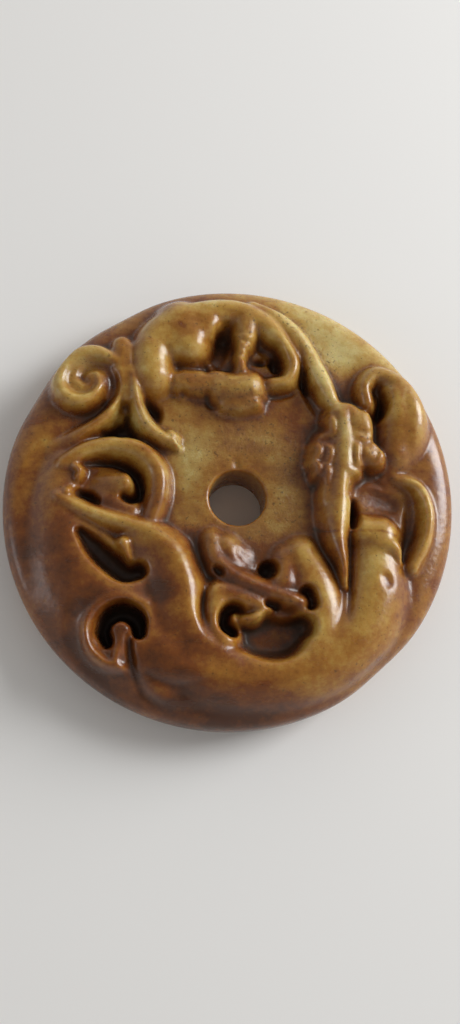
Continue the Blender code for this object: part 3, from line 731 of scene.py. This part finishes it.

# %% [markdown]
# ## The tones of the stone
#
# The stone runs from a pale greenish honey at the upper right to a russet skin at the lower left.
# One map of tone, from 0 for the palest stone to 1 for the darkest skin, holds that, and with it
# some painted light and shade: the upper right is partly paler as painted light, the left and the
# lower part partly darker as painted shade, and a few strokes below are marked likewise. Two more
# maps hold where the stone is greener and where it is granular, as on the hair and the ground
# round the bore. All three are painted with soft strokes. The last two maps are worked out from
# the carving: old dirt and painted shade darken the places where the surface lies lower than what
# is round it and where it lies deep, dirt darkens the cracks, and the crests are made paler. The
# material reads all five as attributes.

# %% Tone of the stone, with some painted light and shade
TONE_STEP = 1.2
BASE_TONE = 0.56
tone = Board(step=TONE_STEP)
tone.height += BASE_TONE
TONE_STROKES = (
    # Paler upper right: partly the stone's pale colour, partly painted light and painted reflection where
    # the rim faces the window.
    ([(-10, 96), (30, 90), (66, 66), (88, 34)], 16, [0.56, 0.2, 0.2, 0.44]),
    ([(30, 84), (52, 62)], 14, [0.08]),
    ([(94, 22), (97, -10), (90, -42), (72, -68)], 9, [0.56, 0.62, 0.62, 0.5]),
    # Darker left rim, lower left and bottom: partly the russet skin, partly painted shade where the light
    # falls off towards the lower left.
    ([(-60, 86), (-80, 62), (-92, 30), (-94, 0), (-88, -34)], 14, [0.5, 0.58, 0.66, 0.74, 0.84]),
    ([(-76, -22), (-66, -44), (-40, -66), (-10, -84)], 22, [0.84, 0.93, 0.93, 0.88]),
    ([(-70, -66), (-40, -88), (0, -97), (36, -90)], 14, [0.84, 0.95, 0.93, 0.72]),
    ([(-8, -76), (14, -80), (38, -74)], 11, [0.74, 0.66, 0.54]),
    ([(-60, 58), (-74, 50), (-66, 38)], 9, [0.38]),
    ([(-54, 49), (-55, 40), (-64, 31)], 5, [0.78]),
    ([(-47, 30), (-36, 22)], 7, [0.36]),
    ([(-22, 6), (-18, 20), (-26, 30)], 13, [0.36]),
    ([(-22, -8), (0, -16)], 9, [0.5]),
    ([(17, 14), (19, -8), (12, -18)], 10, [0.5]),
    # Darker strip along the left foot of the right head: partly dirt, partly painted shade on the side away
    # from the window.
    ([(31, 44), (28, 26), (28, 6)], 7, [0.74]),
    ([(0, 27), (14, 28)], 7, [0.46]),
    # Paler outer slope of the upper dragon's back: partly the stone's colour, partly painted light where the
    # slope faces up.
    ([(-38, 60), (-20, 80), (4, 84), (20, 74)], 9, [0.36, 0.3, 0.3, 0.36]),
    ([(-38, 52), (-22, 64)], 9, [0.42, 0.4]),
    ([(-24, 74), (0, 70), (8, 62)], 7, [0.62]),
    ([(-10, 47), (6, 45)], 8, [0.42]),
    ([(-58, 19), (-44, 19)], 6, [0.46]),
    ([(-36, 14), (-33, 2), (-34, -9)], 6.5, [0.7, 0.78, 0.78]),
    ([(-78, 8), (-72, 0), (-78, -12)], 7, [0.6, 0.6, 0.74]),
    ([(-62, 2), (-48, 3)], 7, [0.74]),
    ([(38, 54), (44, 39)], 4.5, [0.12, 0.2]),
    ([(39, 30), (35, 14), (36, 2)], 7, [0.9]),
    ([(38, -2), (39, -14), (42, -28), (45, -42)], 5, [0.72, 0.76, 0.74, 0.7]),
    # Paler nose ridge of the right dragon: partly the stone's colour, partly painted light on its flat,
    # evenly lit top.
    ([(47, 30), (48, 18), (47.5, 4), (47.5, -16)], 4, [0.36, 0.36, 0.44, 0.5]),
    ([(58, 18), (60, 14)], 6, [0.46]),
    ([(54, 50), (66, 53), (76, 42)], 9, [0.62, 0.56, 0.5]),
    ([(62, 44), (58, 36)], 6, [0.66]),
    ([(66, 20), (62, 4), (66, -8)], 9, [0.6, 0.74, 0.8]),
    ([(80, 4), (82, -12)], 5, [0.4]),
    ([(28, -34), (38, -46), (37, -62)], 8, [0.42]),
    ([(60, -24), (56, -42), (54, -58)], 9, [0.3, 0.32, 0.4]),
    ([(-10, -22), (-4, -34), (8, -40), (26, -47)], 8, [0.84, 0.92, 0.92, 0.84]),
    ([(12, -26), (22, -34)], 8, [0.8, 0.8]),
    ([(-10, -62), (-9, -50), (4, -46)], 5.5, [0.66, 0.74, 0.84]),
    ([(-66, -9), (-52, -14), (-38, -19)], 5.5, [0.42, 0.42, 0.55]),
    ([(-32, -28), (-30, -46), (-24, -62)], 9, [0.74, 0.86, 0.76]),
    ([(-57, 33), (-75, 18), (-87, -4)], 4, [0.62, 0.66, 0.66]),
    ([(47, 46), (50, 38)], 5, [0.72]),
    ([(-58, -7), (-44, -9)], 4, [0.82]),
    ([(-18, -20), (-14, -34)], 4, [0.95]),
    ([(74, -34), (71, -54)], 6, [0.66]),
    ([(54, 30), (57, 22)], 5, [0.56]),
    ([(-76, 23), (-62, 27)], 6, [0.68]),
    ([(-10, 52), (2, 56), (16, 51)], 4, [0.7]),
    ([(-36, 82), (-22, 89)], 6, [0.68]),
    ([(6, -62), (24, -60)], 7, [0.6]),
)
for path, width, levels in TONE_STROKES:
    tone.dab(path, [width], levels)
print("tones run from", round(float(tone.height.min()), 2), "to", round(float(tone.height.max()), 2))

# %% Greener places
olive = Board(step=TONE_STEP)
olive.dab([(-20, -6), (-16, 20), (6, 24), (22, 10), (18, -14), (0, -17)], [13], [1])
olive.dab([(40, 74), (64, 58)], [18], [0.45])
olive.dab([(44, 33), (48, 8)], [5], [0.6])
olive.dab([(-60, 56), (-76, 46)], [8], [0.8])
olive.dab([(-44, 42), (-38, 28)], [4], [0.8])
print("greener share of the face", round(float(olive.height.mean()), 2))

# %% Granular places
coarse = Board(step=TONE_STEP)
coarse.dab([(-14, 44), (0, 45), (10, 42)], [9], [1])
coarse.dab([(2, 56), (4, 72)], [8], [0.9])
coarse.dab([(34, 22), (37, 4)], [8], [0.9])
coarse.dab([(52, 28), (60, 18)], [9], [0.7])
coarse.dab([(20, 84), (34, 70), (42, 58), (46, 48)], [8], [0.9])
coarse.dab([(-26, 28), (-14, 16), (4, 24), (22, 22), (22, -8)], [12], [0.7])
coarse.dab([(-28, -14), (-10, -18), (20, -20)], [10], [0.6])
coarse.dab([(8, -56), (20, -52)], [8], [0.7])
coarse.dab([(60, -2), (68, -8)], [8], [0.8])
coarse.dab([(-12, -28), (4, -40), (20, -46)], [7], [0.6])
print("granular share of the face", round(float(coarse.height.mean()), 2))

# %% Cracks and stained spots
cracks = Board(step=FACE_STEP)
cracks.bead([(34, -16), (38, -18.6), (43, -19.4)], [0.6], [0.5])
cracks.bead([(49.6, -18), (56, -18.6), (62, -18.6), (68, -20.4)], [0.6], [0.5])
cracks.bead([(62.6, -38), (63.4, -40.4)], [2.4], [0.3])
cracks.bead([(-24.4, 73), (-22.6, 71)], [1.5], [0.4])
print("cracked or stained share of the face", round(float((cracks.height > 0).mean()), 4))

# %% Dirt and painted shade in the hollows, and paler crests
HOLLOW_REACH = 3.0
DIRT_AND_SHADE_HOLLOW = 22
DIRT_AND_SHADE_DEPTH = 90
PALEST_CREST_RISE = 14
HOLLOW_DIRT_AND_SHADE = 0.6
DEPTH_DIRT_AND_SHADE = 0.28
around = face.soften(face.height, HOLLOW_REACH)
# Painted shade and old dirt: darker where the surface lies below what is round it, and darker still below
# the ground.
hollow = np.clip((around - face.height) / DIRT_AND_SHADE_HOLLOW, 0, 1)
deep = ease(-face.height / DIRT_AND_SHADE_DEPTH)
dirt_and_shade = np.clip(HOLLOW_DIRT_AND_SHADE * hollow + DEPTH_DIRT_AND_SHADE * deep + cracks.height, 0, 1)
# The crests are made paler, the more they rise over what is round them.
crest = np.clip((face.height - around) / PALEST_CREST_RISE, 0, 1)
print("mean tone", round(float(tone.height.mean()), 2), "and mean dirt", round(float(dirt_and_shade.mean()), 2))

# %% [markdown]
# ## The turned blank
#
# The disc's body is a solid of revolution, so its half section is spun round the axis. The spin
# is done in four zones with more sectors further out, which keeps the small faces about equally
# large everywhere. Each zone is spun for an eighth of a turn and doubled three times, because a
# long spin slows down as its mesh grows. Then neighbouring zones are joined with a bridge between
# their open loops.

# %% Blank
RING_STEP = 0.00018
ZONE_SECTORS = (208, 416, 832, 208)
INNER_ZONE_TO = 0.009
MIDDLE_ZONE_TO = 0.018
BACK_GROOVES = (0.0072, 0.0238)
BACK_GROOVE_WIDTH = 0.00045
BACK_GROOVE_DEPTH = 0.00012
BACK_GROOVE_PROFILE = ((1, 0), (0.5, 0.7), (0, 1), (-0.5, 0.7), (-1, 0))
ARRIS_RINGS = 5
WALL_RINGS = 9
SHOULDER_RINGS = 34
BACK_RINGS = 9
SAME_POINT = 1e-6


def flat_run(start, end):
    """Radii from start to end, a ring step apart."""
    return list(np.linspace(start, end, 1 + round(abs(end - start) / RING_STEP)))


def quarter_round(count):
    return np.linspace(0, math.pi / 2, count)


def full_round(count):
    """Evenly spaced points on a quarter of a squarish curve, from its flat start to its upright end."""
    turn = np.linspace(0, math.pi / 2, 2000)
    out, up = np.sin(turn) ** (2 / FACE_FULLNESS), np.cos(turn) ** (2 / FACE_FULLNESS)
    run = np.concatenate([[0], np.cumsum(np.hypot(np.diff(out), np.diff(up)))])
    wanted = np.linspace(0, run[-1], count)
    return list(zip(np.interp(wanted, run, out), np.interp(wanted, run, up)))


arris = [
    (BORE_RADIUS + BORE_ARRIS * (1 - math.cos(a)), GROUND_HEIGHT - BORE_ARRIS * (1 - math.sin(a)))
    for a in quarter_round(ARRIS_RINGS)
]
wall_heights = np.linspace(BORE_ARRIS, GROUND_HEIGHT - BORE_ARRIS, WALL_RINGS)
wall = [(BORE_RADIUS, height) for height in wall_heights]
inner = flat_run(BORE_RADIUS + BORE_ARRIS, INNER_ZONE_TO)
inner_zone = wall + arris[1:] + [(radius, GROUND_HEIGHT) for radius in inner[1:]]
middle = flat_run(INNER_ZONE_TO, MIDDLE_ZONE_TO)
middle_zone = [(radius, GROUND_HEIGHT) for radius in middle[1:]]
outer = flat_run(MIDDLE_ZONE_TO, RADIUS - FACE_ROUNDING)
outer_zone = [(radius, GROUND_HEIGHT) for radius in outer[1:-1]]
outer_zone += [
    (RADIUS - FACE_ROUNDING * (1 - out), RIM_HEIGHT + (GROUND_HEIGHT - RIM_HEIGHT) * up)
    for out, up in full_round(SHOULDER_RINGS)
]
outer_zone += [
    (RADIUS - BACK_ROUNDING * (1 - math.cos(a)), RIM_HEIGHT * (1 - math.sin(a)))
    for a in quarter_round(BACK_RINGS)[1:-1]
]
back_zone = [(RADIUS - BACK_ROUNDING, 0.0)]
for radius in sorted(BACK_GROOVES, reverse=True):
    for share, depth in BACK_GROOVE_PROFILE:
        back_zone.append((radius + share * BACK_GROOVE_WIDTH, depth * BACK_GROOVE_DEPTH))
back_zone += [
    (BORE_RADIUS + BORE_ARRIS * (1 - math.sin(a)), BORE_ARRIS * (1 - math.cos(a)))
    for a in quarter_round(ARRIS_RINGS)
]

shape = bmesh.new()
zone_mesh = bpy.data.meshes.new("zone")
for section, sectors in zip((inner_zone, middle_zone, outer_zone, back_zone), ZONE_SECTORS):
    zone = bmesh.new()
    corners = [zone.verts.new((radius, 0, height)) for radius, height in section]
    sides = [zone.edges.new(pair) for pair in zip(corners, corners[1:])]
    bmesh.ops.spin(
        zone,
        geom=corners + sides,
        cent=(0, 0, 0),
        axis=(0, 0, 1),
        angle=math.tau / 8,
        steps=sectors // 8,
    )
    for angle in (math.tau / 8, math.tau / 4, math.tau / 2):
        everything = zone.verts[:] + zone.edges[:] + zone.faces[:]
        copy = bmesh.ops.duplicate(zone, geom=everything)["geom"]
        corners = [item for item in copy if isinstance(item, bmesh.types.BMVert)]
        bmesh.ops.rotate(zone, verts=corners, cent=(0, 0, 0), matrix=Matrix.Rotation(angle, 3, "Z"))
    zone.to_mesh(zone_mesh)
    zone.free()
    shape.from_mesh(zone_mesh)
bmesh.ops.remove_doubles(shape, verts=shape.verts, dist=SAME_POINT)
print("spun", len(shape.verts), "points in four zones")


# %% Join the zones
def open_loop(radius, height):
    """The open edges of the blank at one radius and height."""
    return [
        edge
        for edge in shape.edges
        if edge.is_boundary
        and all(
            abs(math.hypot(corner.co.x, corner.co.y) - radius) < SAME_POINT
            and abs(corner.co.z - height) < SAME_POINT
            for corner in edge.verts
        )
    ]


zones = (inner_zone, middle_zone, outer_zone, back_zone)
for before, after in zip(zones, zones[1:] + zones[:1]):
    if math.dist(before[-1], after[0]) > SAME_POINT:
        bmesh.ops.bridge_loops(shape, edges=open_loop(*before[-1]) + open_loop(*after[0]))
bmesh.ops.remove_doubles(shape, verts=shape.verts, dist=SAME_POINT)
bmesh.ops.recalc_face_normals(shape, faces=shape.faces)
disc_mesh = bpy.data.meshes.new("carved_disc")
shape.to_mesh(disc_mesh)
open_edges = sum(edge.is_boundary for edge in shape.edges)
shape.free()
disc_mesh.calc_loop_triangles()
print("the blank has", len(disc_mesh.loop_triangles), "triangles and", open_edges, "open edges")


# %% [markdown]
# ## Carving the blank
#
# The blank is now moved to the real outline, which is slightly oval, worn flat in three places
# and shifted a little against the carving. Its bore is moved to where the driller put it, and the
# board's heights are added to the face. The carving fades out just inside the rim. At the end the
# middle of the outline is put back at the origin, where the CAD part has it.

# %% Carve
def outline_share(angle):
    """How far the outline stands out from a true circle in each direction, as a share of the radius."""
    share = OVAL_SHARE * np.cos(2 * (angle - OVAL_DIRECTION))
    share += (OUTLINE_SHIFT[0] * np.cos(angle) + OUTLINE_SHIFT[1] * np.sin(angle)) / RADIUS
    for direction in FLAT_DIRECTIONS:
        turn = (angle - direction + math.pi) % math.tau - math.pi
        share -= FLAT_DEPTH / RADIUS * np.exp(-((turn / FLAT_SPREAD) ** 2))
    return share


spots = np.empty(len(disc_mesh.vertices) * 3)
disc_mesh.vertices.foreach_get("co", spots)
spots = spots.reshape(-1, 3)
distance = np.hypot(spots[:, 0], spots[:, 1])
angle = np.arctan2(spots[:, 1], spots[:, 0])
outward = distance / RADIUS
on_face = (spots[:, 2] > RIM_HEIGHT) & (distance > BORE_RADIUS + BORE_ARRIS / 2)
spots[:, :2] *= (1 + outline_share(angle) * ease(outward * 2 - 1))[:, None]
near_bore = 1 - ease((distance - BORE_RADIUS) / (RADIUS / 2))
spots[:, :2] += near_bore[:, None] * BORE_OFFSET
plan = spots[:, :2] / PLAN_UNIT
fade = ease((CARVED_TO - outward) / FADE_WIDTH)
raised = face.read(face.height, plan) * HEIGHT_UNIT * fade
spots[on_face, 2] += raised[on_face]
spots[:, :2] -= (spots[:, :2].max(axis=0) + spots[:, :2].min(axis=0)) / 2
disc_mesh.vertices.foreach_set("co", spots.ravel())
maps = (
    ("tone", tone, tone.height),
    ("dirt_and_shade", face, dirt_and_shade),
    ("crest", face, crest),
    ("coarse", coarse, coarse.height),
    ("olive", olive, olive.height),
)
for name, board, field in maps:
    values = board.read(field, plan)
    if name != "tone":
        values = np.where(on_face, values, 0)
    layer = disc_mesh.attributes.new(name, "FLOAT", "POINT")
    layer.data.foreach_set("value", values.astype(np.float32))
disc_mesh.update()
disc_mesh.shade_smooth()
disc = bpy.data.objects.new("carved_disc", disc_mesh)
bpy.context.scene.collection.objects.link(disc)
print("the carved disc is", [round(1000 * side, 1) for side in disc.dimensions], "mm")

# %% [markdown]
# ## The jade
#
# Polished jade shows three things at once: a colour that clouds and streaks inside the stone,
# light that enters and comes out again a little further on, and a waxy gloss over it all. The
# colour is one ramp from pale to russet, moved along by noise at four scales, from clouds down to
# grain, and a fifth, finer one makes the dark pores. Subsurface scattering gives the glow, and a
# thin clear coat over a rougher base gives the two-fold gloss. Dirt and granular stone are duller,
# so both also raise the roughness; the dirt map that does so holds painted shade in the hollows too.

# %% Jade material
jade = bpy.data.materials.new("Honey jade")
jade.use_nodes = True
nodes, links = jade.node_tree.nodes, jade.node_tree.links
surface = nodes["Principled BSDF"]
place = nodes.new("ShaderNodeTexCoord").outputs["Object"]


def noise(scale, detail=4.0, roughness=0.55, stretch=None):
    """A noise texture on the stone's own coordinates."""
    texture = nodes.new("ShaderNodeTexNoise")
    texture.inputs["Scale"].default_value = scale
    texture.inputs["Detail"].default_value = detail
    texture.inputs["Roughness"].default_value = roughness
    source = place
    if stretch:
        mapping = nodes.new("ShaderNodeMapping")
        mapping.inputs["Scale"].default_value = stretch
        links.new(place, mapping.inputs["Vector"])
        source = mapping.outputs["Vector"]
    links.new(source, texture.inputs["Vector"])
    return texture.outputs["Fac"]


def attribute(name):
    """One of the maps painted on the board."""
    node = nodes.new("ShaderNodeAttribute")
    node.attribute_name = name
    return node.outputs["Fac"]


def spread(value, low, high, to_low=0.0, to_high=1.0):
    """The value stretched from one range to another, and kept inside it."""
    node = nodes.new("ShaderNodeMapRange")
    for name, number in zip(("From Min", "From Max", "To Min", "To Max"), (low, high, to_low, to_high)):
        node.inputs[name].default_value = number
    links.new(value, node.inputs["Value"])
    return node.outputs["Result"]


def combine(operation, first, second, third=None):
    """A math node on values or numbers."""
    node = nodes.new("ShaderNodeMath")
    node.operation = operation
    for socket, value in zip(node.inputs, (first, second, third)):
        if isinstance(value, (int, float)):
            socket.default_value = value
        elif value is not None:
            links.new(value, socket)
    return node.outputs["Value"]


def mixed(share, first, second, blend="MIX"):
    """Two colours mixed by a share."""
    node = nodes.new("ShaderNodeMix")
    node.data_type = "RGBA"
    node.blend_type = blend
    for socket, value in ((node.inputs[0], share), (node.inputs[6], first), (node.inputs[7], second)):
        if isinstance(value, (int, float, tuple)):
            socket.default_value = value
        else:
            links.new(value, socket)
    return node.outputs[2]


# %% Colour of the stone
PALEST_STONE = (0.56, 0.43, 0.155, 1)
PALE_HONEY = (0.43, 0.26, 0.058, 1)
HONEY = (0.30, 0.13, 0.019, 1)
RUSSET = (0.172, 0.05, 0.008, 1)
DARKEST_SKIN = (0.075, 0.022, 0.006, 1)
GREENER = (0.95, 1.09, 1.5, 1)
clouds = noise(130, detail=5)
streaks = noise(240, detail=6, stretch=(0.7, 1.6, 1.0))
mottle = noise(620, detail=5, roughness=0.65)
grain = noise(1700, detail=4, roughness=0.75)
specks = noise(2300, detail=3, roughness=0.5)
wander = combine("MULTIPLY_ADD", clouds, 0.6, -0.3)
for texture, strength in ((streaks, 0.6), (mottle, 0.5), (grain, 0.35)):
    wander = combine("ADD", wander, combine("MULTIPLY_ADD", texture, strength, -strength / 2))
stone_tone = combine("ADD", attribute("tone"), wander)
# Crests make the tone paler.
stone_tone = combine("MULTIPLY_ADD", attribute("crest"), -0.2, stone_tone)
# Old dirt and painted shade darken the tone.
stone_tone = combine("MULTIPLY_ADD", attribute("dirt_and_shade"), 0.5, stone_tone)
ramp = nodes.new("ShaderNodeValToRGB")
stops = ramp.color_ramp.elements
stops[0].position, stops[0].color = 0.0, PALEST_STONE
stops[1].position, stops[1].color = 1.0, DARKEST_SKIN
for position, colour in ((0.25, PALE_HONEY), (0.5, HONEY), (0.75, RUSSET)):
    stops.new(position).color = colour
links.new(stone_tone, ramp.inputs["Fac"])
stone = mixed(attribute("olive"), ramp.outputs["Color"], GREENER, blend="MULTIPLY")
print("the stone's ramp has", len(stops), "colours")

# %% Old dirt and painted shade, and pores
# The soil colour stands for old dirt and for painted shade in the hollows.
SOIL_AND_SHADE = (0.045, 0.026, 0.015, 1)
PORE = (0.06, 0.03, 0.012, 1)
soil_and_shade = combine("MULTIPLY_ADD", grain, 0.9, -0.45)
soil_and_shade = combine("ADD", attribute("dirt_and_shade"), soil_and_shade)
soil_and_shade = combine("MULTIPLY_ADD", combine("MULTIPLY", attribute("coarse"), specks), 0.35, soil_and_shade)
soil_and_shade = spread(soil_and_shade, 0.35, 0.95)
colour = mixed(soil_and_shade, stone, SOIL_AND_SHADE)
pores = combine("MULTIPLY_ADD", attribute("coarse"), 0.05, specks)
pores = spread(pores, 0.64, 0.72)
colour = mixed(combine("MULTIPLY", pores, 0.6), colour, PORE)
links.new(colour, surface.inputs["Base Color"])
print("the colour is made by", len(nodes), "nodes")

# %% Gloss, glow and fine relief
roughness = spread(soil_and_shade, 0.0, 1.0, 0.25, 0.75)
roughness = combine("ADD", roughness, combine("MULTIPLY_ADD", streaks, 0.2, -0.1))
roughness = combine("MULTIPLY_ADD", attribute("coarse"), 0.14, roughness)
links.new(roughness, surface.inputs["Roughness"])
for name, value in (
    ("IOR", 1.5),
    ("Specular IOR Level", 0.4),
    ("Subsurface Weight", 0.5),
    ("Subsurface Radius", (1.0, 0.5, 0.16)),
    ("Subsurface Scale", 0.0018),
    ("Coat Weight", 0.16),
    ("Coat Roughness", 0.14),
):
    surface.inputs[name].default_value = value
bump = nodes.new("ShaderNodeBump")
bump.inputs["Strength"].default_value = 0.5
bump.inputs["Distance"].default_value = 0.00012
fine = combine("MULTIPLY_ADD", attribute("coarse"), 1.6, 0.5)
fine = combine("MULTIPLY", grain, fine)
hand_polish = combine("MULTIPLY", noise(420, detail=4), 1.6)
links.new(combine("ADD", fine, hand_polish), bump.inputs["Height"])
links.new(bump.outputs["Normal"], surface.inputs["Normal"])
disc_mesh.materials.append(jade)
print("the jade has", len(nodes), "nodes in all")

# %% Put the carved disc in the CAD part's place
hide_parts("jade_bi_disc")
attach(disc, "root")
print("the carved disc stands in for the plain one")

# %% [markdown]
# ## Table and light
#
# The disc lies on a plain pale table. A window at the right throws long soft highlights on the
# right flank of each limb and a soft shadow to the left. A very weak, low light from the left
# touches the other flanks, and a pale room, brighter towards the window, fills the rest.

# %% Table
TABLE_REACH = 0.6
PALE_TABLE = (0.80, 0.788, 0.765, 1)
table_shape = bmesh.new()
bmesh.ops.create_grid(table_shape, x_segments=1, y_segments=1, size=TABLE_REACH)
table_mesh = bpy.data.meshes.new("table")
table_shape.to_mesh(table_mesh)
table_shape.free()
table = bpy.data.objects.new("table", table_mesh)
bpy.context.scene.collection.objects.link(table)
paper = bpy.data.materials.new("Pale table")
paper.use_nodes = True
for name, value in (("Base Color", PALE_TABLE), ("Roughness", 0.9), ("Specular IOR Level", 0.1)):
    paper.node_tree.nodes["Principled BSDF"].inputs[name].default_value = value
table_mesh.materials.append(paper)
print("the table reaches", TABLE_REACH, "m to each side")


# %% Windows
def window_light(name, place, target, width, height, power, colour):
    """A soft rectangular light at a place, facing a target."""
    lamp = bpy.data.lights.new(name, "AREA")
    lamp.shape = "RECTANGLE"
    lamp.size, lamp.size_y = width, height
    lamp.energy = power
    lamp.color = colour
    item = bpy.data.objects.new(name, lamp)
    item.location = place
    item.rotation_euler = (Vector(target) - Vector(place)).to_track_quat("-Z", "Y").to_euler()
    bpy.context.scene.collection.objects.link(item)
    print("a light of", power, "W at", place)


window_light("Window", (0.41, 0.16, 0.23), (0, 0, 0.005), 0.22, 0.30, 2.6, (0.96, 0.98, 1.0))
window_light("Left window", (-0.40, -0.04, 0.11), (0, 0, 0.005), 0.12, 0.12, 0.1, (0.94, 0.97, 1.0))

# %% Pale room
FLOOR_SHADE = (0.84, 0.80, 0.77, 1)
WALL_SHADE = (0.76, 0.74, 0.72, 1)
CEILING_SHADE = (0.22, 0.22, 0.22, 1)
TOWARD_WINDOW = (0.5, 0.7, 0.0)
BRIGHTNESS_AWAY = 0.66
BRIGHTNESS_TOWARD = 1.1
world = bpy.data.worlds.new("Pale room")
world.use_nodes = True
room_nodes, room_links = world.node_tree.nodes, world.node_tree.links
direction = room_nodes.new("ShaderNodeTexCoord").outputs["Generated"]
upness = room_nodes.new("ShaderNodeSeparateXYZ")
room_links.new(direction, upness.inputs["Vector"])
walls = room_nodes.new("ShaderNodeValToRGB")
shades = walls.color_ramp.elements
shades[0].position, shades[0].color = 0.0, FLOOR_SHADE
shades[1].position, shades[1].color = 0.95, CEILING_SHADE
shades.new(0.45).color = WALL_SHADE
room_links.new(upness.outputs["Z"], walls.inputs["Fac"])
room_links.new(walls.outputs["Color"], room_nodes["Background"].inputs["Color"])
toward_window = room_nodes.new("ShaderNodeVectorMath")
toward_window.operation = "DOT_PRODUCT"
toward_window.inputs[1].default_value = TOWARD_WINDOW
room_links.new(direction, toward_window.inputs[0])
brightness = room_nodes.new("ShaderNodeMapRange")
for name, number in (
    ("From Min", -0.85),
    ("From Max", 0.85),
    ("To Min", BRIGHTNESS_AWAY),
    ("To Max", BRIGHTNESS_TOWARD),
):
    brightness.inputs[name].default_value = number
room_links.new(toward_window.outputs["Value"], brightness.inputs["Value"])
room_links.new(brightness.outputs["Result"], room_nodes["Background"].inputs["Strength"])
bpy.context.scene.world = world
bpy.context.scene.view_settings.view_transform = "Standard"
print("the room is", BRIGHTNESS_TOWARD, "bright towards the window and", BRIGHTNESS_AWAY, "away from it")
